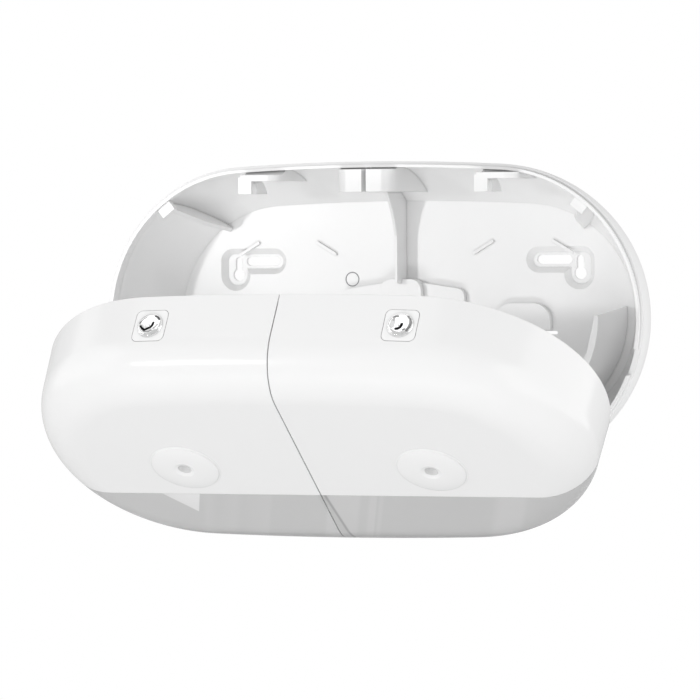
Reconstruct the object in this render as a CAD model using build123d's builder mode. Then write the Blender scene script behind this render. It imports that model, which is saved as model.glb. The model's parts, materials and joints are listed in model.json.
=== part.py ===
"""Double roll toilet paper dispenser for a wall, modelled with both covers hanging open.

A shallow rear shell carries two roll cradles. Each half of the front is a cover of its own,
white above and translucent below, hinged on the shell's lower rim. A cover holds a paper
nozzle in its front and a key lock in its top face. X runs to the right, Z up, and the wall
is the plane Y = 0, with the front facing -Y. Lengths are in millimetres.
"""
from build123d import *
from math import asin, atan2, cos, radians, sin, sqrt, tan
import os

os.makedirs("parts", exist_ok=True)

# Outline of the case seen from the front: bowed top and bottom, round ends
half_width = 199.0
half_height = 110.2
crown_rise = 2.6

# Rear shell
shell_wall = 3.0
shoulder_depth = 81.1
panel_stand = 8.0
wall_curve_radius = 124.7
shoulder_width = 2.0
lip_height = 3.8
lip_thickness = 2.15
bead_depth = 5.0
bead_slope = 4.0
back_rim_width = 4.0

# Covers
cover_depth = 65.0
cover_wall = 3.0
cover_round = 34.0
cover_draft = 3.1
rim_gap = 0.5
rim_wall = 1.6
rebate_depth = 4.6
seam_gap = 0.8
band_height = 77.5
band_gap = 0.1
lap_height = 5.0
lap_clearance = 0.1
plate_tongue = 2.0

# Hinges along the lower rim
open_angle = 52.7
hinge_back = 2.5
hinge_drop = 2.0
hinge_place_shares = (0.372, 0.919)
knuckle_radius = 2.8
knuckle_width = 12.0
lug_width = 5.0
hinge_side_gap = 0.3
hinge_notch_gap = 0.3
pin_radius = 1.25
pin_clearance = 0.05
tab_reach = 7.0
tab_front = 3.0
stop_reach = 8.0
stop_gap = 0.1

# Paper nozzles
nozzle_rise = 32.5
nozzle_radius = 23.6
nozzle_recess = 1.2
nozzle_edge = 1.0
nozzle_dome = 2.6
nozzle_collar_radius = 16.6
nozzle_collar_wall = 2.0
nozzle_collar_length = 12.0
outlet_radius = 4.7
outlet_rim = 2.6
outlet_rim_height = 1.0
nozzle_clearance = 0.2
ring_radius = 21.5
ring_depth = 5.0
funnel_mouth_radius = 24.0
funnel_length = 26.0
funnel_wall = 1.6

# Key locks in the top faces
lock_setback = 23.3
bezel_width = 23.0
bezel_length = 24.0
bezel_corner = 4.0
bezel_depth = 2.0
bezel_clearance = 0.3
boss_margin = 3.0
boss_depth = 1.5
sleeve_radius = 5.3
sleeve_length = 17.5
barrel_head_radius = 8.9
barrel_head_depth = 1.4
barrel_proud = 1.0
barrel_edge = 0.5
barrel_clearance = 0.1
stem_radius = 4.0
stem_end = 0.7
stem_flat = 2.6
keyway_radius = 5.0
keyway_width = 2.4
keyway_depth = 1.6
nut_radius = 6.5
nut_depth = 3.0
cam_gap = 4.2
cam_thickness = 2.4
cam_hub_radius = 6.0
cam_width = 5.0
cam_reach = 13.5
finger_thickness = 3.0
finger_height = 9.0
clip_radius = 5.6
clip_thickness = 1.2
fit_clearance = 0.05

# Catches under the shell's ceiling
catch_shift = 1.5
catch_reach = 16.0
catch_drop = 6.4
catch_leg_width = 9.9
catch_leg_drop = 22.0
catch_leg_depth = 31.0
catch_leg_slant = 11.5
catch_leg_bulge = 2.5
catch_leg_corner = 2.5
catch_arm_width = 19.0
catch_arm_drop = 13.0
catch_arm_corner = 7.0
catch_slot_front = 2.5
catch_slot_length = 8.0
catch_slot_height = 8.4
block_height = 21.2
block_reach = 12.0
block_drop = 5.4
block_width = 19.4
block_gap = 3.2
block_corner = 8.0

# Column, saddle and small forms on the back panel
column_width = 2.0
column_root = 2.6
column_reach = 19.5
column_bottom = 24.0
column_bend_drop = 31.0
column_top_reach = 41.0
boss_reach = 11.0
boss_top = 27.0
boss_top_half = 15.0
boss_foot = -20.0
boss_foot_half = 18.0
boss_corner = 8.0
saddle_reach = 5.0
saddle_peak = 26.5
saddle_end = 19.5
saddle_half = 46.0
saddle_foot = -20.0
saddle_round = 6.0
hub_width = 42.0
hub_height = 19.0
hub_reach = 5.0
hub_round = 13.0
hub_slot_length = 34.0
hub_slot_height = 2.4
hub_slot_gap = 0.8
hub_slot_shift = 8.0
ridge_gap = 13.8
ridge_length = 18.0
ridge_width = 2.0
ridge_height = 2.0
ridge_angle = 31.0

# Screw pads, each with a slot and a keyhole
pad_inset = 48.8
pad_drop = 36.0
pad_length = 50.5
pad_height = 18.5
pad_leg_width = 22.5
pad_leg_drop = 21.2
pad_floor = 3.0
pad_slope = 4.0
pad_wall = 2.4
slot_shift = 5.7
slot_length = 26.0
slot_height = 6.5
key_shift = 13.3
key_drop = 9.7
key_radius = 4.5
key_neck_width = 5.0
key_neck_rise = 3.0

# Fins in the upper corners
fin_angle = 38.5
fin_tilt = 40.0
fin_thickness = 3.0
fin_front_height = 5.0
fin_middle_height = 16.0
fin_back_height = 5.0
fin_pad_width = 11.0
fin_pad_height = 8.0
fin_pad_front = 1.5
fin_pad_depth = 4.0

# Lip cut-outs at the sides
notch_top = -21.0
notch_height = 18.0
notch_width = 14.0

# Roll cradles
cradle_foot_gap = 6.4
cradle_side_gap = 6.2
cradle_wall = 5.1
cradle_setback = 3.1
cradle_top_front = 2.0
cradle_top_back = 7.0
cradle_ramp_angle = 20.0
cradle_step = 0.8
cradle_edge = 1.2

# Small gaps and edges of the hinges
stop_start = 0.3
tab_start = 0.2
tab_edge = 1.0

# Shares that place the middle of a curve between its ends
column_bend_out_share = 0.44
column_bend_up_share = 0.62
dome_out_share = 0.5
dome_up_share = 0.85
funnel_bend_in_share = 0.28
funnel_bend_down_share = 0.62
diagonal_share = 0.7

# One overrun for all cuts
overrun = 20.0

side_radius = half_height - crown_rise
side_centre = half_width - side_radius
top_radius = (half_height**2 + side_centre**2 - side_radius**2) / (2 * crown_rise)
lean = atan2(side_centre, top_radius - half_height)
lip_inset = shoulder_width + lip_thickness
inner_depth = shoulder_depth - panel_stand
hinge_places = [side_centre * share for share in hinge_place_shares]


def on_top(inset, angle):
    """a point on the bowed top, moved in by the inset"""
    reach = top_radius - inset
    return reach * sin(angle), half_height - top_radius + reach * cos(angle)


def top_level(x):
    """height of the outline at x, along its bowed top or its round end"""
    if abs(x) > top_radius * sin(lean):
        return sqrt(side_radius**2 - (abs(x) - side_centre) ** 2)
    return half_height - top_radius + sqrt(top_radius**2 - x**2)


def half_outline(inset):
    """the three arcs of the outline's right half, each as start, middle and end point"""
    crown = [on_top(inset, lean * share) for share in (0, 1 / 2, 1)]
    foot = [(x, -z) for x, z in reversed(crown)]
    return [crown, [crown[-1], (half_width - inset, 0), foot[0]], foot]


def outer_inset(depth):
    """how far the shell's outside has curved in, this deep behind the shoulder"""
    return wall_curve_radius - sqrt(wall_curve_radius**2 - depth**2)


def inner_inset(depth):
    """the same for the inside of the shell's wall"""
    return wall_curve_radius - sqrt((wall_curve_radius - shell_wall) ** 2 - depth**2)


def middle_inset(depth):
    """the same for the middle of the shell's wall"""
    return wall_curve_radius - sqrt((wall_curve_radius - shell_wall / 2) ** 2 - depth**2)


def middle_depth(inset):
    """how deep behind the shoulder the middle of the wall has curved in this far"""
    return sqrt((wall_curve_radius - shell_wall / 2) ** 2 - (wall_curve_radius - inset) ** 2)


def fin_reach(inset):
    """how far along a fin the shell has curved in this much"""
    slew = radians(90 - fin_angle - fin_tilt)
    return side_radius * cos(slew) - sqrt((side_radius - inset) ** 2 - (side_radius * sin(slew)) ** 2)


# Rolls and cradles fill the shell, and the locks, catches, blocks and pads follow
cradle_radius = half_height - inner_inset(inner_depth) - cradle_foot_gap
cradle_seat_radius = cradle_radius - cradle_wall
cradle_depth = inner_depth - cradle_setback
roll_x = half_width - inner_inset(inner_depth) - cradle_side_gap - cradle_radius
catch_x = roll_x - catch_shift
catch_front = -shoulder_depth - catch_reach
catch_leg_bottom = half_height - catch_leg_drop
catch_arm_bottom = half_height - catch_arm_drop
block_bottom = half_height - block_height
rim_inside = outer_inset(shoulder_depth) + back_rim_width
pad_centre = half_width - rim_inside - pad_inset
pad_level = half_height - rim_inside - pad_drop
pad_leg_bottom = pad_level - pad_leg_drop
key_centre = pad_centre + key_shift
key_level = pad_level - key_drop
key_neck_top = pad_level + key_neck_rise


def side_plane(x):
    """upright plane across the shell at x, drawn on in Y and Z"""
    return Plane(origin=(x, 0, 0), x_dir=(0, 1, 0), z_dir=(1, 0, 0))


# Planes of the shell
shoulder_plane = Plane.XZ.offset(shoulder_depth)
panel_plane = Plane.XZ.offset(panel_stand)
shell_section = Plane(
    origin=(0, -shoulder_depth, half_height), x_dir=(0, 0, -1), z_dir=(1, 0, 0)
)

# Planes of the open covers: the closed front swung about the hinge line
rim_depth = shoulder_depth + rim_gap
hinge_y = hinge_back - rim_depth
hinge_z = -half_height - hinge_drop
hinge_spot = Location((0, hinge_y, hinge_z))
swing = hinge_spot * Location((0, 0, 0), (open_angle, 0, 0)) * hinge_spot.inverse()
cover_frame = Plane(swing * Plane.XZ.offset(rim_depth).location)


def cover_vector(x, y, z):
    """a direction in the cover: right, up along the front, and forwards"""
    return cover_frame.x_dir * x + cover_frame.y_dir * y + cover_frame.z_dir * z


def cover_point(x, y, z):
    """a place in the cover, measured from the middle of its rim"""
    return cover_frame.origin + cover_vector(x, y, z)


cover_section = Plane(
    origin=cover_point(0, half_height, 0), x_dir=cover_vector(0, -1, 0), z_dir=cover_vector(-1, 0, 0)
)
cover_side = Plane(
    origin=cover_point(0, -half_height, 0), x_dir=cover_vector(0, 0, 1), z_dir=cover_vector(-1, 0, 0)
)
band_plane = Plane(
    origin=cover_point(0, band_height - half_height, 0),
    x_dir=cover_vector(1, 0, 0),
    z_dir=cover_vector(0, 1, 0),
)
draft = radians(cover_draft)
round_start = cover_depth - cover_round + cover_round * sin(draft)
round_centre = round_start * tan(draft) + cover_round * cos(draft)

with BuildLine(shoulder_plane) as shell_path:
    for arc in half_outline(0):
        ThreePointArc(*arc)

with BuildLine(cover_frame) as cover_path:
    for arc in half_outline(0):
        ThreePointArc(*arc)


# Right half of the shell: its wall, lip and rim are one section, swept round the outline
with BuildPart() as shell_half:
    bead_end = bead_depth + bead_slope
    halfway = (bead_end + inner_depth) / 2
    panel_edge = rim_inside + plate_tongue
    panel_back = inner_depth + shell_wall
    with BuildSketch(shell_section):
        with BuildLine():
            ThreePointArc(
                (0, 0),
                (outer_inset(shoulder_depth / 2), shoulder_depth / 2),
                (outer_inset(shoulder_depth), shoulder_depth),
            )
            Polyline(
                (outer_inset(shoulder_depth), shoulder_depth),
                (rim_inside, shoulder_depth),
                (rim_inside, panel_back),
                (panel_edge, panel_back),
                (panel_edge, inner_depth),
                (inner_inset(inner_depth), inner_depth),
            )
            ThreePointArc(
                (inner_inset(inner_depth), inner_depth),
                (inner_inset(halfway), halfway),
                (inner_inset(bead_end), bead_end),
            )
            Polyline(
                (inner_inset(bead_end), bead_end),
                (lip_inset, bead_depth),
                (lip_inset, -lip_height),
                (shoulder_width, -lip_height),
                (shoulder_width, 0),
                (0, 0),
            )
        make_face()
    sweep(path=shell_path.wire())
    with BuildSketch(panel_plane):
        with BuildLine():
            for arc in half_outline(rim_inside + plate_tongue / 2):
                ThreePointArc(*arc)
            Line(arc[-1], (arc[-1][0], -arc[-1][1]))
        make_face()
    extrude(amount=-shell_wall)


def pad_spots(side):
    """the two rounded slots of one L-shaped screw pad: x, z, length, width and turn"""
    leg_top = pad_level + pad_height / 2
    leg_x = side * (pad_centre + (pad_length - pad_leg_width) / 2)
    return (
        (side * pad_centre, pad_level, pad_length, pad_height, 0),
        (leg_x, (leg_top + pad_leg_bottom) / 2, leg_top - pad_leg_bottom, pad_leg_width, 90),
    )


def ceiling_block(left, right, front, top, bottom, left_corner, right_corner):
    """a block under the ceiling between two sides, its upright front edges rounded"""
    level = top_level(max(abs(left), abs(right)))
    end = middle_depth(level - bottom)
    with BuildPart() as block:
        with BuildSketch(side_plane((left + right) / 2)):
            with BuildLine():
                Polyline(
                    (bead_depth - shoulder_depth, level - middle_inset(bead_depth)),
                    (-shoulder_depth, level - lip_inset),
                    (-shoulder_depth - lip_height, top),
                    (front, top),
                    (front, bottom),
                    (end - shoulder_depth, bottom),
                )
                ThreePointArc(
                    *[
                        (depth - shoulder_depth, level - middle_inset(depth))
                        for depth in (end, (end + bead_depth) / 2, bead_depth)
                    ]
                )
            make_face()
        extrude(amount=(right - left) / 2, both=True)
        front_edges = block.edges().filter_by(Axis.Z).group_by(Axis.Y)[0].sort_by(Axis.X)
        for edge, corner in zip(front_edges, (left_corner, right_corner)):
            if corner:
                fillet(edge, radius=corner)
    return block.part


catch_blocks = []
for side in (-1, 1):
    catch_left = side * catch_x - catch_leg_width / 2
    catch_right = side * catch_x + catch_leg_width / 2
    catch_blocks.append(
        ceiling_block(
            catch_left,
            catch_right + catch_arm_width,
            catch_front,
            top_level(catch_x) - catch_drop,
            catch_arm_bottom,
            catch_leg_corner,
            catch_arm_corner,
        )
    )
middle_blocks = [
    ceiling_block(
        min(side * block_gap / 2, side * (block_gap / 2 + block_width)),
        max(side * block_gap / 2, side * (block_gap / 2 + block_width)),
        -shoulder_depth - block_reach,
        half_height - block_drop,
        block_bottom,
        block_corner if side < 0 else 0,
        block_corner if side > 0 else 0,
    )
    for side in (-1, 1)
]

with BuildPart() as rear_shell:
    add(shell_half.part)
    mirror(about=Plane.YZ)
    # Screw pads reach back to the wall, then their pockets and holes are cut
    with BuildSketch(Plane.XZ):
        for side in (-1, 1):
            for x, z, length, width, turn in pad_spots(side):
                with Locations((x, z)):
                    SlotOverall(length + 2 * pad_wall, width + 2 * pad_wall, rotation=turn)
    extrude(amount=panel_stand)
    for side in (-1, 1):
        for x, z, length, width, turn in pad_spots(side):
            for level, slope in ((panel_stand, 0), (pad_floor, pad_slope)):
                with BuildSketch(Plane.XZ.offset(level)):
                    with Locations((x, z)):
                        SlotOverall(length - 2 * slope, width - 2 * slope, rotation=turn)
            loft(ruled=True, mode=Mode.SUBTRACT)
    with BuildSketch(Plane.XZ):
        for side in (-1, 1):
            with Locations((side * (pad_centre - slot_shift), pad_level)):
                SlotOverall(slot_length, slot_height)
            with Locations((side * key_centre, key_level)):
                Circle(key_radius)
            with Locations((side * key_centre, (key_level + key_neck_top) / 2)):
                SlotOverall(key_neck_top - key_level, key_neck_width, rotation=90)
    extrude(amount=panel_stand, mode=Mode.SUBTRACT)
    # Short ridges around each roll's centre
    with BuildSketch(panel_plane):
        for side in (-1, 1):
            for turn in (ridge_angle, -ridge_angle, 180 + ridge_angle, 180 - ridge_angle):
                x = side * roll_x + (cradle_seat_radius - ridge_gap) * sin(radians(turn))
                z = (cradle_seat_radius - ridge_gap) * cos(radians(turn))
                with Locations(Location((x, z, 0), (0, 0, -turn))):
                    SlotOverall(ridge_length, ridge_width)
    extrude(amount=ridge_height)
    # Low blocks at the rolls' centres, each over a thin slot
    with BuildSketch(panel_plane) as hubs:
        with Locations((-roll_x, 0), (roll_x, 0)):
            Rectangle(hub_width, hub_height)
        fillet(hubs.vertices().group_by(Axis.Y)[-1], radius=hub_round)
    extrude(amount=hub_reach)
    # Raised saddle under the column
    with BuildSketch(panel_plane) as saddle:
        with BuildLine():
            Polyline(
                (-saddle_half, saddle_foot),
                (-saddle_half, saddle_end),
                (0, saddle_peak),
                (saddle_half, saddle_end),
                (saddle_half, saddle_foot),
                close=True,
            )
        make_face()
        fillet(
            [v for v in saddle.vertices() if abs(v.X) > saddle_half / 2],
            radius=saddle_round,
        )
    extrude(amount=saddle_reach)
    with BuildSketch(panel_plane) as boss:
        with BuildLine():
            Polyline(
                (-boss_foot_half, boss_foot),
                (-boss_top_half, boss_top),
                (boss_top_half, boss_top),
                (boss_foot_half, boss_foot),
                close=True,
            )
        make_face()
        fillet([v for v in boss.vertices() if v.Y > boss_foot], radius=boss_corner)
    extrude(amount=boss_reach)

    # Lock catches: an arm along the ceiling with a leg that the lock's cam hooks behind
    for side, block in zip((-1, 1), catch_blocks):
        add(block)
        leg_x = side * catch_x
        with BuildSketch(side_plane(leg_x)):
            with BuildLine():
                leg_top = (catch_front + catch_leg_depth - catch_leg_slant, catch_arm_bottom)
                leg_foot = (catch_front + catch_leg_depth, catch_leg_bottom)
                Polyline(
                    leg_foot,
                    (catch_front, catch_leg_bottom),
                    (catch_front, catch_arm_bottom + shell_wall),
                    (leg_top[0], catch_arm_bottom + shell_wall),
                    leg_top,
                )
                ThreePointArc(
                    leg_top,
                    (
                        (leg_top[0] + leg_foot[0]) / 2 + catch_leg_bulge,
                        (leg_top[1] + leg_foot[1]) / 2,
                    ),
                    leg_foot,
                )
            make_face()
        extrude(amount=catch_leg_width / 2, both=True)
        with BuildSketch(side_plane(leg_x)):
            with Locations((catch_front + catch_slot_front, catch_leg_bottom)):
                Rectangle(
                    catch_slot_length, 2 * catch_slot_height, align=(Align.MIN, Align.CENTER)
                )
        extrude(amount=catch_leg_width, both=True, mode=Mode.SUBTRACT)
    # Two blocks under the middle of the ceiling, either side of the covers' seam
    for block in middle_blocks:
        add(block)
    # Thin column between the two rolls, curving forward into the ceiling
    column_front = -panel_stand - column_reach
    column_bend = block_bottom - column_bend_drop
    column_back = shell_wall / 2 - panel_stand
    ceiling_y = middle_depth(half_height - block_bottom) - shoulder_depth
    with BuildSketch(side_plane(0)):
        with BuildLine():
            column_head = (-panel_stand - column_top_reach, block_bottom + shell_wall / 2)
            bend_middle = (
                column_front - (column_top_reach - column_reach) * column_bend_out_share,
                column_bend + (block_bottom - column_bend) * column_bend_up_share,
            )
            Polyline(
                (column_back, half_height - middle_inset(shoulder_depth + column_back)),
                (column_back, column_bottom),
                (column_front, column_bottom),
                (column_front, column_bend),
            )
            ThreePointArc((column_front, column_bend), bend_middle, column_head)
            Line(column_head, (ceiling_y, column_head[1]))
            Line(
                (ceiling_y, column_head[1]),
                (column_back, half_height - middle_inset(shoulder_depth + column_back)),
            )
        make_face()
    extrude(amount=column_width / 2, both=True)
    with BuildSketch(Plane.XY.offset(column_bottom)):
        with BuildLine():
            Polyline(
                (-column_root / 2, column_back),
                (-column_root / 2, -panel_stand),
                (-column_width / 2, column_front),
                (column_width / 2, column_front),
                (column_root / 2, -panel_stand),
                (column_root / 2, column_back),
                close=True,
            )
        make_face()
    extrude(amount=half_height - middle_inset(inner_depth) - column_bottom)
    # Fins in the two upper corners, each with a small pad at the rim
    for side in (-1, 1):
        turn = radians(fin_angle)
        tilt = radians(fin_tilt)
        fin_spot = (
            side * (side_centre + side_radius * sin(turn)),
            -shoulder_depth,
            side_radius * cos(turn),
        )
        fin_plane = Plane(
            origin=fin_spot,
            x_dir=(-side * cos(tilt), 0, -sin(tilt)),
            z_dir=(sin(tilt), 0, -side * cos(tilt)),
        )
        fin_pad_plane = Plane(
            origin=fin_spot,
            x_dir=(-side * sin(turn), 0, -cos(turn)),
            z_dir=(cos(turn), 0, -side * sin(turn)),
        )
        with BuildSketch(fin_plane):
            with BuildLine():
                Polyline(
                    (fin_reach(middle_inset(0)), 0),
                    (fin_reach(lip_inset) + fin_front_height, 0),
                    (fin_reach(inner_inset(inner_depth / 2)) + fin_middle_height, inner_depth / 2),
                    (fin_reach(inner_inset(inner_depth)) + fin_back_height, inner_depth),
                    (fin_reach(middle_inset(inner_depth)), inner_depth),
                )
                ThreePointArc(
                    (fin_reach(middle_inset(inner_depth)), inner_depth),
                    (fin_reach(middle_inset(inner_depth / 2)), inner_depth / 2),
                    (fin_reach(middle_inset(0)), 0),
                )
            make_face()
        extrude(amount=fin_thickness / 2, both=True)
        with BuildSketch(fin_pad_plane):
            with Locations((lip_inset - fin_pad_front / 2, -fin_pad_front)):
                Rectangle(
                    fin_pad_height, fin_pad_front + fin_pad_depth, align=(Align.MIN, Align.MIN)
                )
        extrude(amount=fin_pad_width / 2, both=True)
    # Thin slots under the low blocks, and the cut-outs in the lip
    with BuildSketch(Plane.XZ):
        for side in (-1, 1):
            slot_level = -(hub_height / 2 + hub_slot_gap + hub_slot_height / 2)
            with Locations((side * (roll_x + hub_slot_shift), slot_level)):
                SlotOverall(hub_slot_length, hub_slot_height)
    extrude(amount=panel_stand, mode=Mode.SUBTRACT)
    with BuildSketch(shoulder_plane):
        for side in (-1, 1):
            with Locations((side * half_width, notch_top)):
                Rectangle(2 * notch_width, notch_height, align=(Align.CENTER, Align.MAX))
    extrude(amount=overrun, mode=Mode.SUBTRACT)
    # Hinge lugs below the lower rim, each with a toe that the open cover rests on
    for side in (-1, 1):
        for place in hinge_places:
            for end in (-1, 1):
                x = side * place + end * (knuckle_width / 2 + hinge_side_gap + lug_width / 2)
                sag = half_height - top_level(abs(x) - lug_width / 2)
                with BuildSketch(side_plane(x)):
                    with Locations((hinge_y, hinge_z)):
                        Circle(knuckle_radius)
                    with BuildLine():
                        Polyline(
                            (-shoulder_depth, hinge_z),
                            (hinge_y + knuckle_radius, hinge_z),
                            (hinge_y + knuckle_radius, shell_wall / 2 - top_level(x)),
                            (-shoulder_depth, shell_wall / 2 - top_level(x)),
                            close=True,
                        )
                    make_face()
                extrude(amount=lug_width / 2, both=True)
                with BuildSketch(cover_side.offset(-x)):
                    with BuildLine():
                        Polyline(
                            (-hinge_back, -hinge_drop),
                            (stop_start, sag - stop_gap),
                            (stop_reach, sag + stop_reach * tan(draft) - stop_gap),
                            (stop_reach, -hinge_drop),
                            (stop_start, -hinge_drop - knuckle_radius),
                            (-hinge_back, -hinge_drop - knuckle_radius),
                            close=True,
                        )
                    make_face()
                extrude(amount=lug_width / 2, both=True)
            with BuildSketch(side_plane(side * place)):
                with Locations((hinge_y, hinge_z)):
                    Circle(knuckle_radius + hinge_notch_gap)
            extrude(
                amount=knuckle_width / 2 + hinge_side_gap, both=True, mode=Mode.SUBTRACT
            )
            with BuildSketch(side_plane(side * place)):
                with Locations((hinge_y, hinge_z)):
                    Circle(pin_radius + pin_clearance)
            extrude(
                amount=knuckle_width / 2 + hinge_side_gap + lug_width,
                both=True,
                mode=Mode.SUBTRACT,
            )
rear_shell.part.label = "rear_shell"
export_step(rear_shell.part, "parts/rear_shell.step")

# Roll cradles: a trough under each roll, thin at its outer edge
with BuildPart() as right_cradle:
    with BuildSketch(panel_plane):
        with BuildLine():
            top_turn = asin(cradle_top_back / cradle_radius)
            end_turn = -atan2(cradle_radius, -roll_x)
            ramp_turn = -radians(cradle_ramp_angle)

            def on_circle(radius, turn):
                """a point round the roll's centre"""
                return (roll_x + radius * cos(turn), radius * sin(turn))

            ThreePointArc(
                on_circle(cradle_radius, top_turn),
                on_circle(cradle_radius, (top_turn + end_turn) / 2),
                on_circle(cradle_radius, end_turn),
            )
            Line(on_circle(cradle_radius, end_turn), on_circle(cradle_seat_radius, end_turn))
            ThreePointArc(
                on_circle(cradle_seat_radius, end_turn),
                on_circle(cradle_seat_radius, (ramp_turn + end_turn) / 2),
                on_circle(cradle_seat_radius, ramp_turn),
            )
            edge = on_circle(cradle_radius, top_turn)
            Polyline(
                on_circle(cradle_seat_radius, ramp_turn),
                on_circle(cradle_seat_radius + cradle_step, ramp_turn),
                (edge[0] - cradle_edge, edge[1]),
                edge,
            )
        make_face()
    extrude(amount=cradle_depth)
    with BuildSketch(side_plane(roll_x)):
        with BuildLine():
            Polyline(
                (-panel_stand, cradle_top_back),
                (-panel_stand - cradle_depth, cradle_top_front),
                (-panel_stand - cradle_depth, cradle_top_back + overrun),
                (-panel_stand, cradle_top_back + overrun),
                close=True,
            )
        make_face()
    extrude(amount=2 * cradle_radius, both=True, mode=Mode.SUBTRACT)
with BuildPart() as left_cradle:
    mirror(right_cradle.part, about=Plane.YZ)
right_cradle.part.label = "right_roll_cradle"
left_cradle.part.label = "left_roll_cradle"


# Covers: the swept wall and the flat front, between two depths inside the outer face
def skin_curve(offset):
    """section of a cover's wall, this far inside its outer face: rim, round start, middle, end"""
    start = (
        round_start * tan(draft) + offset * cos(draft),
        round_start - offset * sin(draft),
    )
    turn = (draft + radians(90)) / 2
    reach = cover_round - offset
    round_level = cover_depth - cover_round
    middle = (round_centre - reach * cos(turn), round_level + reach * sin(turn))
    return [(offset / cos(draft), 0), start, middle, (round_centre, cover_depth - offset)]


def cover_skin(outer, inner):
    """right cover's wall and front between two depths inside the outer face"""
    out_rim, out_start, out_middle, out_end = skin_curve(outer)
    in_rim, in_start, in_middle, in_end = skin_curve(inner)
    with BuildPart() as skin:
        with BuildSketch(cover_section):
            with BuildLine():
                Line(out_rim, out_start)
                ThreePointArc(out_start, out_middle, out_end)
                Polyline(
                    out_end,
                    (out_end[0] + plate_tongue, out_end[1]),
                    (in_end[0] + plate_tongue, in_end[1]),
                    in_end,
                )
                ThreePointArc(in_end, in_middle, in_start)
                Polyline(in_start, in_rim, out_rim)
            make_face()
        sweep(path=cover_path.wire())
        with BuildSketch(cover_frame.offset(cover_depth - inner)):
            with BuildLine():
                for arc in half_outline(round_centre + plate_tongue / 2):
                    ThreePointArc(*arc)
                Line(arc[-1], (arc[-1][0], -arc[-1][1]))
            make_face()
        extrude(amount=inner - outer)
        split(bisect_by=Plane.YZ.offset(seam_gap / 2), keep=Keep.TOP)
    return skin.part


def lock_plane(side):
    """plane on the cover's sloping top face at the lock, local Y towards the wall"""
    turn = asin(side * roll_x / top_radius)
    x, z = on_top(lock_setback * tan(draft), turn)
    return Plane(
        origin=cover_point(x, z, lock_setback),
        x_dir=cover_vector(cos(turn), -sin(turn), 0),
        z_dir=cover_vector(sin(turn) * cos(draft), cos(turn) * cos(draft), sin(draft)),
    )


nozzle_spot = cover_point(roll_x, band_height + nozzle_rise - half_height, cover_depth)
nozzle_plane = Plane(
    origin=nozzle_spot, x_dir=cover_vector(1, 0, 0), z_dir=cover_vector(0, 0, 1)
)
nozzle_section = Plane(
    origin=nozzle_spot, x_dir=cover_vector(1, 0, 0), z_dir=cover_vector(0, -1, 0)
)
nozzle_axis = Axis(origin=nozzle_spot, direction=cover_vector(0, 0, 1))

with BuildPart() as cover_blank:
    add(cover_skin(0, cover_wall))
    with BuildSketch(cover_section) as rebate:
        with Locations((rim_wall, 0)):
            Rectangle(2 * cover_wall, 2 * rebate_depth, align=(Align.MIN, Align.CENTER))
    sweep(sections=rebate.sketch, path=cover_path.wire(), mode=Mode.SUBTRACT)

with BuildPart() as lap:
    add(cover_skin((cover_wall + lap_clearance) / 2, cover_wall))
    split(bisect_by=band_plane.offset(lap_height), keep=Keep.BOTTOM)
    split(bisect_by=band_plane.offset(-lap_height), keep=Keep.TOP)
    sweep(sections=rebate.sketch, path=cover_path.wire(), mode=Mode.SUBTRACT)

with BuildPart() as lap_groove:
    add(cover_skin((cover_wall - lap_clearance) / 2, cover_wall + lap_clearance))
    split(bisect_by=band_plane.offset(lap_height + lap_clearance), keep=Keep.BOTTOM)

# White upper part of the cover
with BuildPart() as right_cover:
    add(cover_blank.part)
    split(bisect_by=band_plane.offset(band_gap), keep=Keep.TOP)
    add(lap_groove.part, mode=Mode.SUBTRACT)
    with BuildSketch(nozzle_plane):
        Circle(nozzle_radius + nozzle_clearance)
    extrude(amount=-nozzle_recess, mode=Mode.SUBTRACT)
    with BuildSketch(nozzle_plane):
        Circle(nozzle_collar_radius + nozzle_clearance)
    extrude(amount=-2 * cover_wall, mode=Mode.SUBTRACT)
    with BuildSketch(lock_plane(1).offset(-cover_wall / 2)):
        RectangleRounded(
            bezel_width + 2 * boss_margin, bezel_length + 2 * boss_margin, bezel_corner + boss_margin
        )
    extrude(amount=-(cover_wall / 2 + boss_depth))
    with BuildSketch(lock_plane(1).offset(cover_wall)):
        RectangleRounded(
            bezel_width + 2 * bezel_clearance,
            bezel_length + 2 * bezel_clearance,
            bezel_corner + bezel_clearance,
        )
    extrude(amount=-(cover_wall + bezel_depth), mode=Mode.SUBTRACT)
    with BuildSketch(lock_plane(1)):
        Circle(sleeve_radius + fit_clearance)
    extrude(amount=-overrun, mode=Mode.SUBTRACT)
with BuildPart() as left_cover:
    mirror(right_cover.part, about=Plane.YZ)

# Translucent lower part, with the hinge knuckles
with BuildPart() as right_window:
    add(cover_blank.part)
    split(bisect_by=band_plane, keep=Keep.BOTTOM)
    add(lap.part)
    for place in hinge_places:
        sag = half_height - top_level(place)
        with BuildSketch(cover_side.offset(-place)):
            with Locations((-hinge_back, -hinge_drop)):
                Circle(knuckle_radius)
            with BuildLine():
                Polyline(
                    (-hinge_back, -hinge_drop - knuckle_radius),
                    (tab_front, -hinge_drop - knuckle_radius),
                    (tab_reach, sag - tab_edge),
                    (tab_reach, sag + rim_wall / 2),
                    (tab_start, sag + rim_wall / 2),
                    (tab_start, hinge_notch_gap - hinge_drop),
                    (-hinge_back, hinge_notch_gap - hinge_drop),
                    close=True,
                )
            make_face()
        extrude(amount=knuckle_width / 2, both=True)
        with BuildSketch(cover_side.offset(-place)):
            with Locations((-hinge_back, -hinge_drop)):
                Circle(pin_radius + pin_clearance)
        extrude(amount=knuckle_width, both=True, mode=Mode.SUBTRACT)
with BuildPart() as left_window:
    mirror(right_window.part, about=Plane.YZ)

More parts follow.
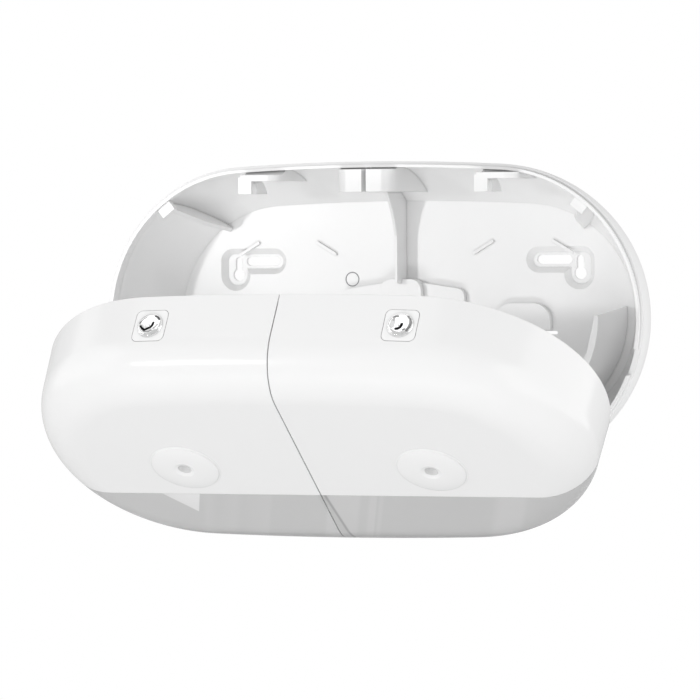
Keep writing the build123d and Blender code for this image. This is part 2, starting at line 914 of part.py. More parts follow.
# Hinge pins
pins = []
for side, name in ((1, "right"), (-1, "left")):
    for place, spot in zip(hinge_places, ("inner", "outer")):
        with BuildPart() as pin:
            with BuildSketch(side_plane(side * place)):
                with Locations((hinge_y, hinge_z)):
                    Circle(pin_radius)
            extrude(amount=knuckle_width / 2 + hinge_side_gap + lug_width, both=True)
        pin.part.label = f"{name}_{spot}_hinge_pin"
        pins.append(pin.part)

# Nozzles: a domed disc with a collar, a funnel behind it and a ring that holds it
with BuildPart() as right_disc:
    with BuildSketch(nozzle_section):
        with BuildLine():
            lip_radius = outlet_radius + outlet_rim
            Polyline(
                (nozzle_radius, nozzle_edge),
                (nozzle_radius, -nozzle_recess),
                (nozzle_collar_radius, -nozzle_recess),
                (nozzle_collar_radius, -nozzle_collar_length),
                (nozzle_collar_radius - nozzle_collar_wall, -nozzle_collar_length),
                (nozzle_collar_radius - nozzle_collar_wall, -nozzle_recess),
                (outlet_radius, -nozzle_recess),
                (outlet_radius, nozzle_dome - outlet_rim_height),
                (lip_radius, nozzle_dome),
            )
            ThreePointArc(
                (lip_radius, nozzle_dome),
                (
                    lip_radius + (nozzle_radius - lip_radius) * dome_out_share,
                    nozzle_edge + (nozzle_dome - nozzle_edge) * dome_up_share,
                ),
                (nozzle_radius, nozzle_edge),
            )
        make_face()
    revolve(axis=nozzle_axis)
with BuildPart() as right_ring:
    with BuildSketch(nozzle_plane.offset(-cover_wall)):
        Circle(ring_radius)
        Circle(nozzle_collar_radius + fit_clearance, mode=Mode.SUBTRACT)
    extrude(amount=-ring_depth)
with BuildPart() as right_funnel:
    with BuildSketch(nozzle_section):
        with BuildLine():
            throat = (outlet_radius, -nozzle_recess)
            mouth = (funnel_mouth_radius, -funnel_length)
            bend = (
                throat[0] + (mouth[0] - throat[0]) * funnel_bend_in_share,
                throat[1] + (mouth[1] - throat[1]) * funnel_bend_down_share,
            )
            ThreePointArc(throat, bend, mouth)
            Line(mouth, (mouth[0], mouth[1] + funnel_wall))
            ThreePointArc(
                (mouth[0], mouth[1] + funnel_wall),
                (bend[0] + funnel_wall * diagonal_share, bend[1] + funnel_wall * diagonal_share),
                (throat[0] + funnel_wall, throat[1]),
            )
            Line((throat[0] + funnel_wall, throat[1]), throat)
        make_face()
    revolve(axis=nozzle_axis)

named = {
    "right_roll_cradle": right_cradle.part,
    "left_roll_cradle": left_cradle.part,
    "right_cover": right_cover.part,
    "left_cover": left_cover.part,
    "right_window": right_window.part,
    "left_window": left_window.part,
}
for name, part in (
    ("nozzle_disc", right_disc.part),
    ("nozzle_ring", right_ring.part),
    ("nozzle_funnel", right_funnel.part),
):
    named[f"right_{name}"] = part
    with BuildPart() as twin:
        mirror(part, about=Plane.YZ)
    named[f"left_{name}"] = twin.part

# Locks: bezel with its sleeve, turning barrel, nut, cam and clip
cam_drop = sleeve_length + cam_gap
stem_length = cam_drop + cam_thickness + clip_thickness + stem_end
for side, name in ((1, "right"), (-1, "left")):
    face = lock_plane(side)
    with BuildPart() as bezel:
        with BuildSketch(face.offset(-bezel_depth)):
            RectangleRounded(bezel_width, bezel_length, bezel_corner)
        extrude(amount=bezel_depth)
        with BuildSketch(face.offset(-sleeve_length)):
            Circle(sleeve_radius)
        extrude(amount=sleeve_length)
        with BuildSketch(face):
            Circle(barrel_head_radius + barrel_clearance)
        extrude(amount=-barrel_head_depth, mode=Mode.SUBTRACT)
        with BuildSketch(face):
            Circle(stem_radius + fit_clearance)
        extrude(amount=-2 * sleeve_length, mode=Mode.SUBTRACT)
    named[f"{name}_lock_bezel"] = bezel.part
    with BuildPart() as barrel:
        with BuildSketch(face.offset(fit_clearance - barrel_head_depth)):
            Circle(barrel_head_radius)
        extrude(amount=barrel_head_depth - fit_clearance + barrel_proud)
        chamfer(barrel.edges().sort_by(Axis(face.origin, face.z_dir))[-1], length=barrel_edge)
        with BuildSketch(face.offset(-cam_drop + fit_clearance)):
            Circle(stem_radius)
        extrude(amount=cam_drop - barrel_head_depth)
        with BuildSketch(face.offset(-stem_length)):
            Rectangle(2 * stem_flat, 2 * stem_flat)
        extrude(amount=stem_length - cam_drop + stem_flat)
        with BuildSketch(face.offset(barrel_proud)):
            Circle(keyway_radius)
            Circle(keyway_radius - keyway_width, mode=Mode.SUBTRACT)
            Rectangle(keyway_width, 2 * keyway_radius + keyway_width)
        extrude(amount=-keyway_depth, mode=Mode.SUBTRACT)
    named[f"{name}_lock_barrel"] = barrel.part
    with BuildPart() as nut:
        with BuildSketch(face.offset(-cover_wall - boss_depth)):
            RegularPolygon(nut_radius, 6)
            Circle(sleeve_radius + fit_clearance, mode=Mode.SUBTRACT)
        extrude(amount=-nut_depth)
    named[f"{name}_lock_nut"] = nut.part
    with BuildPart() as cam:
        with BuildSketch(face.offset(-cam_drop)):
            Circle(cam_hub_radius)
            Rectangle(
                cam_reach + finger_thickness / 2, cam_width, align=(Align.MIN, Align.CENTER)
            )
            Rectangle(
                2 * (stem_flat + fit_clearance), 2 * (stem_flat + fit_clearance), mode=Mode.SUBTRACT
            )
        extrude(amount=-cam_thickness)
        with BuildSketch(face.offset(-cam_drop)):
            with Locations((cam_reach, 0)):
                Rectangle(finger_thickness, cam_width)
        extrude(amount=finger_height)
    named[f"{name}_lock_cam"] = cam.part
    with BuildPart() as clip:
        with BuildSketch(face.offset(-cam_drop - cam_thickness)):
            Circle(clip_radius)
            Rectangle(
                2 * (stem_flat + fit_clearance), 2 * (stem_flat + fit_clearance), mode=Mode.SUBTRACT
            )
        extrude(amount=-clip_thickness)
    named[f"{name}_lock_clip"] = clip.part

for name, part in named.items():
    part.label = name
    export_step(part, f"parts/{name}.step")
for part in pins:
    export_step(part, f"parts/{part.label}.step")
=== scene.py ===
"""Looks of the double roll toilet paper dispenser: plastics, chrome, small marks, light, camera."""
import json
from math import cos, hypot, radians, sin, tau
from typing import NamedTuple

import bpy
from mathutils import Matrix, Vector


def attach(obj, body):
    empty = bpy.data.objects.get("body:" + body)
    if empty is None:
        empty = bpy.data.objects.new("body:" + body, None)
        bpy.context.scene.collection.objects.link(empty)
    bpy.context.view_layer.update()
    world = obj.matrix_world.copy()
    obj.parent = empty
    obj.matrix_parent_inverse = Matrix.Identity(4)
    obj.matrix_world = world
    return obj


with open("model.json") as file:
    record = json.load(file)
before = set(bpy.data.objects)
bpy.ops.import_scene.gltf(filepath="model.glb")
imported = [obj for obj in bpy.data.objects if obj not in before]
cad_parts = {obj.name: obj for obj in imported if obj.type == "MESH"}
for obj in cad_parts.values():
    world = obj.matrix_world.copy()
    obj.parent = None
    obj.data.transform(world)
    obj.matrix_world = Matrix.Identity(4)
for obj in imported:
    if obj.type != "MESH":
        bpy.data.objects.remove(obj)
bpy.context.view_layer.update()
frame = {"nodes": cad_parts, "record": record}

MM = 0.001
nodes = frame["nodes"]

# Camera, fitted to the photograph's outline
CAMERA_AZIMUTH = radians(20.253)
CAMERA_ELEVATION = radians(1.553)
CAMERA_ROLL = radians(-0.547)
CAMERA_DISTANCE = 3.4
CAMERA_TARGET = Vector((-42.65, -8.0, -23.83)) * MM
FOCAL_PIXELS = 4736.0
PICTURE_PIXELS = 700.0

# Studio: the floor in metres, and how strongly the white surround lights the object
FLOOR_LEVEL = -1.2
FLOOR_HALF = 2.8
SURROUND = 0.61
DIFFUSE_BOUNCES = 8
LAMPS_AIM = Vector((0.0, -0.1, 0.0))


class Lamp(NamedTuple):
    """a soft light, placed in degrees and metres from the aim; reaches is all, covers or shell"""
    azimuth: float
    elevation: float
    distance: float
    width: float
    height: float
    watts: float
    reaches: str = "all"
    highlights: bool = True
    shadows_of_shell_only: bool = False


LAMPS = {
    "key": Lamp(-24.5, 3.8, 3.0, 0.14, 0.14, 4.4),
    "cover_left_box": Lamp(-74.0, 14.0, 2.4, 2.8, 1.8, 10.5, "covers"),
    "cover_right_box": Lamp(96.0, 10.0, 1.9, 3.6, 1.6, 19.0, "covers"),
    "cover_top_box": Lamp(-42.0, 72.0, 2.0, 1.6, 1.6, 6.5, "covers"),
    "low_fill": Lamp(0.0, -30.0, 2.2, 3.0, 0.6, 27.5, highlights=False),
    "shell_key": Lamp(-24.5, 3.8, 3.0, 0.14, 0.14, 8.8, "shell"),
    "shell_low_fill": Lamp(
        -5.0, -42.0, 3.0, 2.4, 0.8, 27.5, "shell", highlights=False, shadows_of_shell_only=True
    ),
    "shell_right_fill": Lamp(105.0, 8.0, 2.4, 2.0, 2.0, 24.0, "shell", highlights=False),
}

# Windows, hanging open. Places are in millimetres: across is to the right of the middle, down is
# from the top edge, WINDOW_TOP in front of the wall, back towards it, and slanted follows the
# streaks, which run to the left as they go down. Levels multiply the window's grey.
WINDOW_TOP = 180.0
STREAK_SLANT = 0.44
STREAKS = (  # slanted, level
    (-160.0, 1.0), (-120.0, 1.0), (-88.0, 0.985), (-84.0, 1.03), (-76.0, 0.99), (-64.0, 1.02),
    (-58.0, 0.99), (-44.0, 1.02), (-39.0, 1.03), (-36.0, 0.985), (3.0, 0.985), (5.0, 1.045),
    (26.0, 1.045), (28.5, 0.985), (33.0, 0.985), (35.0, 1.045), (39.0, 1.045), (40.2, 0.95),
    (41.6, 1.03), (43.0, 1.03), (45.0, 0.975), (122.0, 0.975), (128.0, 1.04), (144.0, 1.04),
    (148.0, 0.985), (160.0, 0.985),
)
# Painted shade along the windows' lower edge: where it sets in, in millimetres down, and its level
LOWER_EDGE = (33.0, 39.0)
LOWER_SHADE_LEVEL = 0.80

# Painted shade of the inner flange beside the seam: a dark line, and a darker band on its left
FLANGE_TOP = 3.2
FLANGE_SLANT = 0.105
FLANGE_LINE = (0.4, 1.6)
FLANGE_LINE_LEVEL = 0.70
FLANGE_BAND_LEFT = (-8.0, -3.0)
FLANGE_BAND_RIGHT = (0.0, 1.5)
FLANGE_BAND_LEVEL = 0.92

# The lighter wedge on the left window
WEDGE_SLANT = 1.6
WEDGE_LEFT = (-114.0, -112.0)
WEDGE_RIGHT = (-91.0, -90.0)
WEDGE_LEVEL = 1.36

# Nozzle discs: direction they face when the covers hang open, how far they rise over the cover,
# and the radius and height of the rounding at their edge in millimetres
FRONT_FACING = Vector((0.0, -0.606, -0.7955))
DISC_RISE = 2.6 * MM
DISC_EDGE = ((24.7, 0.02), (24.25, 0.08), (23.9, 0.28), (23.68, 0.62), (23.56, 1.01), (23.3, 1.1))
DISC_AROUND = 128

# Lock faces: radius and height over the bezel in millimetres from the rim to the middle
FACE_PROFILE = (
    (9.2, 0.08), (8.95, 0.75), (8.6, 1.15), (8.3, 1.22), (8.2, 1.16), (8.1, 1.16), (8.0, 1.3),
    (7.7, 1.6), (7.3, 1.8), (6.0, 2.0), (4.0, 2.12), (2.0, 2.18), (0.0, 2.2),
)
FACE_AROUND = 200
FACE_RINGS = 60

# Groove round each lock face, blackened with painted shade: radius, width and how black it is, and
# the width of its soft edge
GROOVE_SHADE = (8.15, 0.22, 0.3)
GROOVE_SOFTNESS = 0.15

# Recesses of each lock face, black with painted shade and painted reflection: width, how black, and
# the points of the line, in millimetres to the right and towards the wall. They are dips of
# RECESS_DEPTH with edges of RECESS_SOFTNESS.
RECESS_DEPTH = 0.12
RECESS_SOFTNESS = 0.25
RECESSES = {
    "left": (
        (1.7, 1.0, ((-5.9, -1.4), (-4.6, -2.9), (-2.4, -4.5), (-0.4, -3.5), (1.5, -2.6),
                    (2.6, -1.2), (3.0, 0.9))),
        (1.1, 0.35, ((-4.6, -4.0), (-2.6, -5.8), (0.2, -6.2), (2.6, -5.0))),
        (0.8, 0.45, ((0.3, -0.7), (1.0, -1.9))),
        (1.6, 0.9, ((3.4, 6.6), (5.2, 5.6), (6.4, 4.1))),
        (0.9, 0.8, ((-7.0, 1.2), (-6.3, 2.2))),
        (0.7, 0.4, ((-6.3, 2.2), (-4.6, 4.4), (-2.8, 5.8))),
        (0.9, 0.45, ((3.8, -3.6), (5.2, -2.2), (6.2, -0.4))),
    ),
    "right": (
        (1.9, 1.0, ((-1.9, -4.0), (-0.6, -3.8), (0.8, -2.8), (1.4, -1.4), (1.6, -0.3))),
        (0.8, 0.4, ((-0.6, -1.2), (0.2, -2.4))),
        (1.2, 0.75, ((3.2, -4.7), (4.0, -4.1))),
        (3.2, 0.42, ((-5.2, -1.8), (-5.0, 0.4), (-4.9, 2.2))),
        (1.6, 0.6, ((-4.7, 2.6), (-4.6, 4.0), (-4.4, 5.4))),
        (1.2, 0.85, ((-5.2, 5.4), (-3.6, 5.9), (-1.9, 5.9))),
        (1.5, 0.6, ((4.8, 6.1), (6.6, 3.9), (7.3, 1.0), (6.9, -2.0), (5.4, -4.9))),
    ),
}

# Ringed mark on the back panel: a flattened thin ring
PANEL_DEPTH = 8.0 * MM
RING_CENTRE = (-40.25 * MM, 27.0 * MM)
RING_RADIUS = 4.9 * MM
RING_LINE = 0.38 * MM
RING_FLATNESS = 0.6
RING_AROUND = 64
RING_ACROSS = 10

# Shares of a material's colour in its darker clouds, and of its roughness where it is glossiest
# and dullest
PLASTIC_CLOUD = 0.996
PLASTIC_GLOSS = (0.985, 1.015)
FROSTED_CLOUD = 0.98
METAL_CLOUD = 0.88
METAL_GLOSS = (0.7, 1.4)

# The lock faces' chrome in and beside its polishing marks, and the black painted in its recesses as
# shade and reflection
CHROME_GREYS = ((0.90, 0.90, 0.90), (0.95, 0.95, 0.95))
RECESS_SHADE_BLACK = (0.008, 0.008, 0.009)

# The part of a noise's range that is used, and the rays of the bevel and crease nodes
NOISE_RANGE = (0.2, 0.8)
BEVEL_SAMPLES = 4
CREASE_SAMPLES = 8


# Materials
def new_material(name):
    """a material with only a shader and its output, and its tree"""
    material = bpy.data.materials.new(name)
    material.use_nodes = True
    tree = material.node_tree
    tree.nodes.clear()
    output = tree.nodes.new("ShaderNodeOutputMaterial")
    shader = tree.nodes.new("ShaderNodeBsdfPrincipled")
    tree.links.new(shader.outputs["BSDF"], output.inputs["Surface"])
    return material, tree, shader


def feed(tree, value, socket):
    """brings another socket, a number or a colour into a socket"""
    if isinstance(value, bpy.types.NodeSocket):
        tree.links.new(value, socket)
    elif isinstance(value, tuple):
        socket.default_value = (*value, 1.0)
    else:
        socket.default_value = value


def shade(colour, share):
    """a colour at a share of its brightness"""
    return tuple(c * share for c in colour)


def noise(tree, scale, detail, stretch=(1.0, 1.0, 1.0)):
    """noise in the object's own space, in waves per metre"""
    place = tree.nodes.new("ShaderNodeTexCoord")
    mapping = tree.nodes.new("ShaderNodeMapping")
    mapping.inputs["Scale"].default_value = stretch
    texture = tree.nodes.new("ShaderNodeTexNoise")
    texture.inputs["Scale"].default_value = scale
    texture.inputs["Detail"].default_value = detail
    tree.links.new(place.outputs["Object"], mapping.inputs["Vector"])
    tree.links.new(mapping.outputs["Vector"], texture.inputs["Vector"])
    return texture.outputs["Fac"]


def calculate(tree, operation, *values):
    """one sum on values that are each a socket or a number"""
    node = tree.nodes.new("ShaderNodeMath")
    node.operation = operation
    for value, socket in zip(values, node.inputs):
        feed(tree, value, socket)
    return node.outputs["Value"]


def between(tree, value, span, levels):
    """a level that runs softly from one to the other while the value crosses the span"""
    node = tree.nodes.new("ShaderNodeMapRange")
    node.interpolation_type = "SMOOTHSTEP"
    node.inputs["From Min"].default_value, node.inputs["From Max"].default_value = span
    node.inputs["To Min"].default_value, node.inputs["To Max"].default_value = levels
    tree.links.new(value, node.inputs["Value"])
    return node.outputs["Result"]


def blend_colours(tree, factor, first, second):
    """a colour between two, each a socket or a colour, by the factor"""
    node = tree.nodes.new("ShaderNodeMix")
    node.data_type = "RGBA"
    feed(tree, first, node.inputs["A"])
    feed(tree, second, node.inputs["B"])
    tree.links.new(factor, node.inputs["Factor"])
    return node.outputs["Result"]


def fine_grain(tree, shader, scale, height, edge):
    """fine moulding grain, with the model's sharp edges rounded in the shading"""
    bump = tree.nodes.new("ShaderNodeBump")
    bump.inputs["Strength"].default_value = 1.0
    bump.inputs["Distance"].default_value = height
    tree.links.new(noise(tree, scale, detail=3.0), bump.inputs["Height"])
    if edge:
        rounding = tree.nodes.new("ShaderNodeBevel")
        rounding.samples = BEVEL_SAMPLES
        rounding.inputs["Radius"].default_value = edge
        tree.links.new(rounding.outputs["Normal"], bump.inputs["Normal"])
    tree.links.new(bump.outputs["Normal"], shader.inputs["Normal"])


def crease_shade(tree, reach):
    """a mask for painted shade: 1 on open faces, falling towards 0 in narrow creases and gaps"""
    occlusion = tree.nodes.new("ShaderNodeAmbientOcclusion")
    occlusion.samples = CREASE_SAMPLES
    occlusion.inputs["Distance"].default_value = reach
    return occlusion.outputs["AO"]


def plastic(name, colour, roughness, edge=0.4 * MM, crease=0.82, reach=2.5 * MM):
    """moulded plastic: a faint cloud in its colour and gloss, painted shade in the creases, fine
    grain
    """
    material, tree, shader = new_material(name)
    cloud = noise(tree, scale=9.0, detail=3.0)
    cloudy = blend_colours(tree, cloud, shade(colour, PLASTIC_CLOUD), colour)
    # painted shade: the colour falls to its crease share in narrow creases and gaps
    crease_shaded = blend_colours(tree, crease_shade(tree, reach), shade(colour, crease), cloudy)
    tree.links.new(crease_shaded, shader.inputs["Base Color"])
    gloss = noise(tree, scale=40.0, detail=2.0)
    levels = tuple(roughness * share for share in PLASTIC_GLOSS)
    tree.links.new(between(tree, gloss, NOISE_RANGE, levels), shader.inputs["Roughness"])
    shader.inputs["IOR"].default_value = 1.49
    fine_grain(tree, shader, scale=1600.0, height=0.002 * MM, edge=edge)
    return material


def streak_level(tree, slanted):
    """the level of the window's streaks at a place"""
    first, last = STREAKS[0][0], STREAKS[-1][0]
    streaks = tree.nodes.new("ShaderNodeValToRGB")
    stops = streaks.color_ramp.elements
    while len(stops) < len(STREAKS):
        stops.new(0.5)
    for stop, (place, level) in zip(stops, STREAKS):
        stop.position = (place - first) / (last - first)
        stop.color = (level, level, level, 1.0)
    share = calculate(tree, "DIVIDE", calculate(tree, "SUBTRACT", slanted, first), last - first)
    tree.links.new(share, streaks.inputs["Fac"])
    return streaks.outputs["Color"]


def window_level(tree):
    """streaks, painted shade at the lower edge and along the seam's inner flange, and the wedge, in
    the part's place
    """
    place = tree.nodes.new("ShaderNodeTexCoord")
    parts = tree.nodes.new("ShaderNodeSeparateXYZ")
    tree.links.new(place.outputs["Object"], parts.inputs["Vector"])
    across = calculate(tree, "MULTIPLY", parts.outputs["X"], 1.0 / MM)
    down = calculate(tree, "MULTIPLY_ADD", parts.outputs["Y"], 1.0 / MM, WINDOW_TOP)
    slanted = calculate(tree, "MULTIPLY_ADD", down, STREAK_SLANT, across)
    # painted shade: darker towards the lower edge
    lower_edge_shade = between(tree, down, LOWER_EDGE, (1.0, LOWER_SHADE_LEVEL))

    # painted shade along the inner flange: a dark line and a darker band beside it
    flange_at = calculate(tree, "MULTIPLY_ADD", down, FLANGE_SLANT, FLANGE_TOP)
    flange = calculate(tree, "SUBTRACT", across, flange_at)
    off_line = calculate(tree, "ABSOLUTE", flange)
    line = between(tree, off_line, FLANGE_LINE, (FLANGE_LINE_LEVEL, 1.0))
    band = calculate(
        tree, "MULTIPLY", between(tree, flange, FLANGE_BAND_LEFT, (0.0, 1.0)),
        between(tree, flange, FLANGE_BAND_RIGHT, (1.0, 0.0)),
    )
    band_shade = between(tree, band, (0.0, 1.0), (1.0, FLANGE_BAND_LEVEL))
    seam = calculate(tree, "MULTIPLY", line, band_shade)

    wedge_left = calculate(tree, "MULTIPLY_ADD", down, -WEDGE_SLANT, slanted)
    in_wedge = calculate(
        tree, "MULTIPLY", between(tree, wedge_left, WEDGE_LEFT, (0.0, 1.0)),
        between(tree, slanted, WEDGE_RIGHT, (1.0, 0.0)),
    )
    wedge = between(tree, in_wedge, (0.0, 1.0), (1.0, WEDGE_LEVEL))

    level = streak_level(tree, slanted)
    for factor in (lower_edge_shade, seam, wedge):
        level = calculate(tree, "MULTIPLY", level, factor)
    return level


def frosted(name, colour):
    """translucent grey plastic, frosted inside, with the streaks of its inner ribs and painted
    shade at its lower edge and seam
    """
    material, tree, shader = new_material(name)
    cloud = noise(tree, scale=25.0, detail=3.0)
    scaled = tree.nodes.new("ShaderNodeVectorMath")
    scaled.operation = "SCALE"
    cloudy = blend_colours(tree, cloud, shade(colour, FROSTED_CLOUD), colour)
    tree.links.new(cloudy, scaled.inputs["Vector"])
    tree.links.new(window_level(tree), scaled.inputs["Scale"])
    tree.links.new(scaled.outputs["Vector"], shader.inputs["Base Color"])
    gloss = noise(tree, scale=60.0, detail=3.0)
    tree.links.new(between(tree, gloss, NOISE_RANGE, (0.20, 0.24)), shader.inputs["Roughness"])
    shader.inputs["IOR"].default_value = 1.47
    shader.inputs["Transmission Weight"].default_value = 0.35
    return material


def metal(name, colour, roughness, grain, stretch=(1.0, 1.0, 1.0)):
    """plated or brushed metal: streaks in its colour and gloss, and a fine grain"""
    material, tree, shader = new_material(name)
    streak = noise(tree, grain, detail=4.0, stretch=stretch)
    streaked = blend_colours(tree, streak, shade(colour, METAL_CLOUD), colour)
    tree.links.new(streaked, shader.inputs["Base Color"])
    gloss = noise(tree, grain, detail=3.0, stretch=stretch)
    levels = tuple(roughness * share for share in METAL_GLOSS)
    tree.links.new(between(tree, gloss, NOISE_RANGE, levels), shader.inputs["Roughness"])
    shader.inputs["Metallic"].default_value = 1.0
    fine_grain(tree, shader, scale=grain * 2, height=0.004 * MM, edge=0.15 * MM)
    return material


def chrome_face(name):
    """bright chrome with fine polishing marks, black as painted shade and painted reflection where
    the mesh's attribute for it is 1
    """
    material, tree, shader = new_material(name)
    recess = tree.nodes.new("ShaderNodeAttribute")
    recess.attribute_name = "recess_shade"
    marks = noise(tree, scale=900.0, detail=3.0, stretch=(1.0, 0.3, 0.3))
    bright = blend_colours(tree, marks, *CHROME_GREYS)
    # black of the painted shade and painted reflection in the recesses
    tinted = blend_colours(tree, recess.outputs["Fac"], bright, RECESS_SHADE_BLACK)
    tree.links.new(tinted, shader.inputs["Base Color"])
    tree.links.new(between(tree, marks, NOISE_RANGE, (0.10, 0.16)), shader.inputs["Roughness"])
    shader.inputs["Metallic"].default_value = 1.0
    return material


cover_white = plastic("cover_white", (0.875, 0.875, 0.875), 0.17, crease=0.72, reach=2.0 * MM)
shell_white = plastic("shell_white", (0.905, 0.905, 0.905), 0.28, crease=0.72, reach=1.8 * MM)
disc_white = plastic("disc_white", (0.89, 0.89, 0.89), 0.22, edge=0.25 * MM, crease=0.92)
lock_white = plastic(
    "lock_white", (0.92, 0.92, 0.92), 0.2, edge=0.25 * MM, crease=0.5, reach=0.8 * MM
)
edge_white = plastic("edge_white", (0.89, 0.89, 0.89), 0.22, edge=0.0, crease=0.97)
inner_grey = plastic("inner_grey", (0.88, 0.88, 0.88), 0.4, edge=0.25 * MM)
mark_grey = plastic("mark_grey", (0.36, 0.36, 0.37), 0.5, edge=0.0)
window_grey = frosted("window_grey", (0.77, 0.77, 0.77))
face_chrome = chrome_face("face_chrome")
lock_chrome = metal("lock_chrome", (0.83, 0.84, 0.85), 0.10, grain=160.0)
zinc = metal("zinc", (0.66, 0.67, 0.68), 0.32, grain=240.0)
pin_steel = metal("pin_steel", (0.58, 0.58, 0.59), 0.28, grain=200.0, stretch=(0.2, 1.0, 1.0))

MATERIALS = {
    "rear_shell": shell_white,
    "roll_cradle": shell_white,
    "cover": cover_white,
    "window": window_grey,
    "nozzle_disc": disc_white,
    "nozzle_ring": inner_grey,
    "nozzle_funnel": inner_grey,
    "lock_bezel": lock_white,
    "lock_barrel": lock_chrome,
    "lock_nut": zinc,
    "lock_cam": zinc,
    "lock_clip": zinc,
    "inner_hinge_pin": pin_steel,
    "outer_hinge_pin": pin_steel,
}
for name, node in nodes.items():
    kind = name.removeprefix("right_").removeprefix("left_")
    node.data.materials.clear()
    node.data.materials.append(MATERIALS[kind])


# Small pieces
def mesh_object(name, verts, faces, material, body):
    """a smooth mesh that rides on a body"""
    mesh = bpy.data.meshes.new(name)
    mesh.from_pydata(verts, [], faces)
    mesh.update()
    mesh.polygons.foreach_set("use_smooth", [True] * len(mesh.polygons))
    mesh.materials.append(material)
    piece = bpy.data.objects.new(name, mesh)
    bpy.context.scene.collection.objects.link(piece)
    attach(piece, body)
    return piece


def ring_faces(rings, around, closed=False, flipped=False):
    """four-sided faces between neighbouring rings of points, back to the first ring if closed"""
    faces = []
    for ring in range(rings if closed else rings - 1):
        low, high = ring * around, (ring + 1) % rings * around
        for i in range(around):
            k = (i + 1) % around
            face = (low + i, low + k, high + k, high + i)
            faces.append((face[0], face[3], face[2], face[1]) if flipped else face)
    return faces


def reach_to_line(u, v, line):
    """shortest distance from a point to a line of several runs"""
    reaches = []
    for (u0, v0), (u1, v1) in zip(line, line[1:]):
        along = (u1 - u0, v1 - v0)
        share = ((u - u0) * along[0] + (v - v0) * along[1]) / (along[0] ** 2 + along[1] ** 2)
        share = min(1.0, max(0.0, share))
        reaches.append(hypot(u - u0 - share * along[0], v - v0 - share * along[1]))
    return min(reaches)


def inside_line(distance, width, softness):
    """1 inside a line of some width and 0 outside, with a soft edge"""
    return min(1.0, max(0.0, (width / 2 - distance) / softness + 0.5))


def recess_at(side, u, v):
    """how deep the lock face is at a point, and how black its painted shade is there, from 0 to 1
    """
    deep = recess_shade = 0.0
    for width, painted_darkness, line in RECESSES[side]:
        inside = inside_line(reach_to_line(u, v, line), width, RECESS_SOFTNESS)
        deep = max(deep, inside)
        recess_shade = max(recess_shade, inside * painted_darkness)
    # painted shade in the groove round the face
    radius, width, painted_darkness = GROOVE_SHADE
    groove = inside_line(abs(hypot(u, v) - radius), width, GROOVE_SOFTNESS)
    return deep, max(recess_shade, groove * painted_darkness)


def profile_height(radius):
    """height of the lock face at a radius, before its recesses"""
    for (r0, h0), (r1, h1) in zip(FACE_PROFILE, FACE_PROFILE[1:]):
        if radius >= r1:
            return h0 + (h1 - h0) * (r0 - radius) / (r0 - r1)
    return FACE_PROFILE[-1][1]


def disc_edge(side):
    """the soft rounding where a nozzle disc stands on its cover"""
    node = nodes[f"{side}_nozzle_disc"]
    outward = FRONT_FACING.normalized()
    right = Vector((1.0, 0.0, 0.0))
    up = outward.cross(right)
    points = [node.matrix_world @ vertex.co for vertex in node.data.vertices]
    spans = [[point.dot(axis) for point in points] for axis in (right, up, outward)]
    centre = right * (min(spans[0]) + max(spans[0])) / 2 + up * (min(spans[1]) + max(spans[1])) / 2
    centre += outward * (max(spans[2]) - DISC_RISE)
    verts = []
    for radius, height in DISC_EDGE:
        for i in range(DISC_AROUND):
            turn = tau * i / DISC_AROUND
            aside = right * cos(turn) + up * sin(turn)
            verts.append(centre + aside * radius * MM + outward * height * MM)
    faces = ring_faces(len(DISC_EDGE), DISC_AROUND)
    return mesh_object(f"{side}_disc_edge", verts, faces, edge_white, f"{side}_cover_body")


def lock_face(side):
    """the domed face of a lock's barrel, with its recesses blackened by painted shade and painted
    reflection
    """
    joints = frame["record"]["behaviour"]["joints"]
    joint = next(joint for joint in joints if joint["name"] == f"{side}_lock_turn")
    centre = Vector(joint["pos_m"])
    outward = Vector(joint["axis"]).normalized()
    right = Vector((1.0, 0.0, 0.0))
    right = (right - outward * right.dot(outward)).normalized()
    back = outward.cross(right)
    rim = FACE_PROFILE[0][0]
    radii = {radius for radius, _ in FACE_PROFILE}
    radii |= {rim * i / FACE_RINGS for i in range(FACE_RINGS)}
    radii.remove(0.0)
    verts, painted_darkness = [], []
    for radius in sorted(radii):
        for i in range(FACE_AROUND):
            turn = tau * i / FACE_AROUND
            u, v = radius * cos(turn), radius * sin(turn)
            deep, recess_shade = recess_at(side, u, v)
            height = profile_height(radius) - deep * RECESS_DEPTH
            verts.append(centre + (right * u + back * v + outward * height) * MM)
            painted_darkness.append(recess_shade)
    verts.append(centre + outward * FACE_PROFILE[-1][1] * MM)
    painted_darkness.append(0.0)
    faces = ring_faces(len(radii), FACE_AROUND, flipped=True)
    faces += [(len(verts) - 1, i, (i + 1) % FACE_AROUND) for i in range(FACE_AROUND)]
    piece = mesh_object(f"{side}_lock_face", verts, faces, face_chrome, f"{side}_lock")
    # the painted shade and painted reflection of the recesses, point by point, for the chrome's
    # black
    dark_points = piece.data.attributes.new("recess_shade", "FLOAT", "POINT")
    dark_points.data.foreach_set("value", painted_darkness)
    return piece


def ring_mark():
    """the thin moulded ring on the back panel, with nothing in it"""
    verts = []
    for i in range(RING_AROUND):
        turn = tau * i / RING_AROUND
        for j in range(RING_ACROSS):
            bend = tau * j / RING_ACROSS
            radius = RING_RADIUS + RING_LINE * cos(bend)
            verts.append((
                RING_CENTRE[0] + radius * cos(turn),
                -PANEL_DEPTH - RING_LINE * RING_FLATNESS * sin(bend),
                RING_CENTRE[1] + radius * sin(turn),
            ))
    faces = ring_faces(RING_AROUND, RING_ACROSS, closed=True)
    return mesh_object("ring_mark", verts, faces, mark_grey, "base")


ring_mark()
cover_pieces = []
for side in ("left", "right"):
    cover_pieces += [disc_edge(side), lock_face(side)]


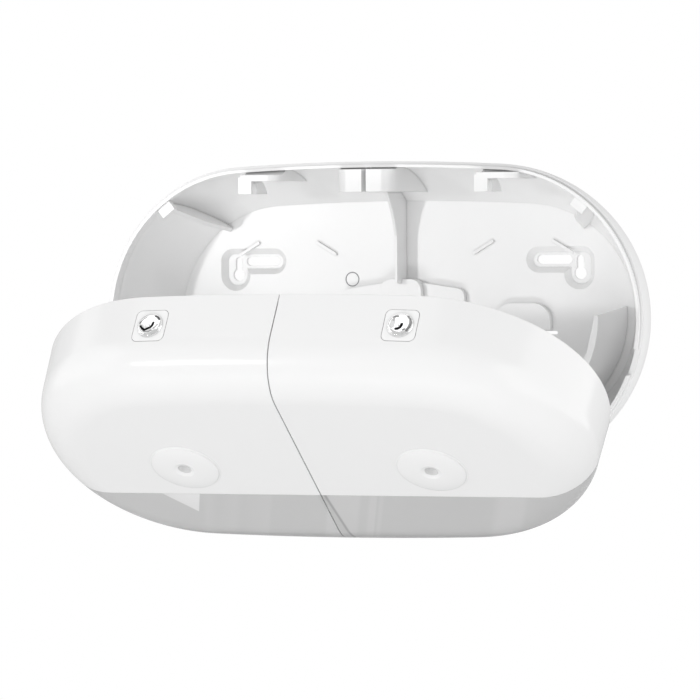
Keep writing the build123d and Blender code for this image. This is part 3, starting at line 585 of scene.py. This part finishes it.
# Studio
def surround():
    """a white background for the camera, which lights the object less strongly"""
    world = bpy.data.worlds.new("surround")
    bpy.context.scene.world = world
    world.use_nodes = True
    tree = world.node_tree
    background = tree.nodes["Background"]
    background.inputs["Color"].default_value = (1.0, 1.0, 1.0, 1.0)
    path = tree.nodes.new("ShaderNodeLightPath")
    level = tree.nodes.new("ShaderNodeMapRange")
    level.inputs["To Min"].default_value = SURROUND
    level.inputs["To Max"].default_value = 1.0
    tree.links.new(path.outputs["Is Camera Ray"], level.inputs["Value"])
    tree.links.new(level.outputs["Result"], background.inputs["Strength"])


def picture():
    """plain colours, and enough bounces for the white hollows"""
    scene = bpy.context.scene
    scene.view_settings.view_transform = "Standard"
    scene.view_settings.look = "None"
    scene.cycles.diffuse_bounces = DIFFUSE_BOUNCES


def floor():
    """a plain pale floor"""
    corners = [
        (x * FLOOR_HALF, y * FLOOR_HALF, FLOOR_LEVEL)
        for x, y in ((-1, -1), (1, -1), (1, 1), (-1, 1))
    ]
    mesh = bpy.data.meshes.new("floor")
    mesh.from_pydata(corners, [], [(0, 1, 2, 3)])
    mesh.materials.append(plastic("floor_pale", (0.86, 0.86, 0.86), 0.6, edge=0.0))
    piece = bpy.data.objects.new("floor", mesh)
    bpy.context.scene.collection.objects.link(piece)


def direction(azimuth, elevation):
    """unit vector from the object, azimuth from the front towards the right, in radians"""
    return Vector((
        sin(azimuth) * cos(elevation), -cos(azimuth) * cos(elevation), sin(elevation)
    ))


def soft_light(name, receivers):
    """a soft light aimed at the object, which reaches all of it or one collection"""
    row = LAMPS[name]
    light = bpy.data.lights.new(name, "AREA")
    light.shape = "RECTANGLE"
    light.size = row.width
    light.size_y = row.height
    light.energy = row.watts
    lamp = bpy.data.objects.new(name, light)
    bpy.context.scene.collection.objects.link(lamp)
    towards = direction(radians(row.azimuth), radians(row.elevation))
    lamp.location = LAMPS_AIM + towards * row.distance
    lamp.rotation_euler = (-towards).to_track_quat("-Z", "Y").to_euler()
    lamp.visible_camera = False
    lamp.visible_glossy = row.highlights
    if row.reaches != "all":
        lamp.light_linking.receiver_collection = receivers[row.reaches]
    if row.shadows_of_shell_only:
        lamp.light_linking.blocker_collection = receivers["shell"]


def lights():
    """all the soft lights, and the collections that they reach"""
    receivers = {
        "shell": bpy.data.collections.new("shell_receivers"),
        "covers": bpy.data.collections.new("cover_receivers"),
    }
    for name, node in nodes.items():
        in_shell = name == "rear_shell" or name.endswith("roll_cradle")
        receivers["shell" if in_shell else "covers"].objects.link(node)
    for piece in cover_pieces:
        receivers["covers"].objects.link(piece)
    for name in LAMPS:
        soft_light(name, receivers)


def camera():
    """the photograph's camera"""
    data = bpy.data.cameras.new("camera")
    data.sensor_fit = "HORIZONTAL"
    data.lens = FOCAL_PIXELS / PICTURE_PIXELS * data.sensor_width
    piece = bpy.data.objects.new("camera", data)
    bpy.context.scene.collection.objects.link(piece)
    back = direction(CAMERA_AZIMUTH, CAMERA_ELEVATION)
    turn = (-back).to_track_quat("-Z", "Y").to_matrix().to_4x4()
    place = Matrix.Translation(CAMERA_TARGET + back * CAMERA_DISTANCE)
    piece.matrix_world = place @ turn @ Matrix.Rotation(CAMERA_ROLL, 4, "Z")
    bpy.context.scene.camera = piece


surround()
picture()
floor()
lights()
camera()
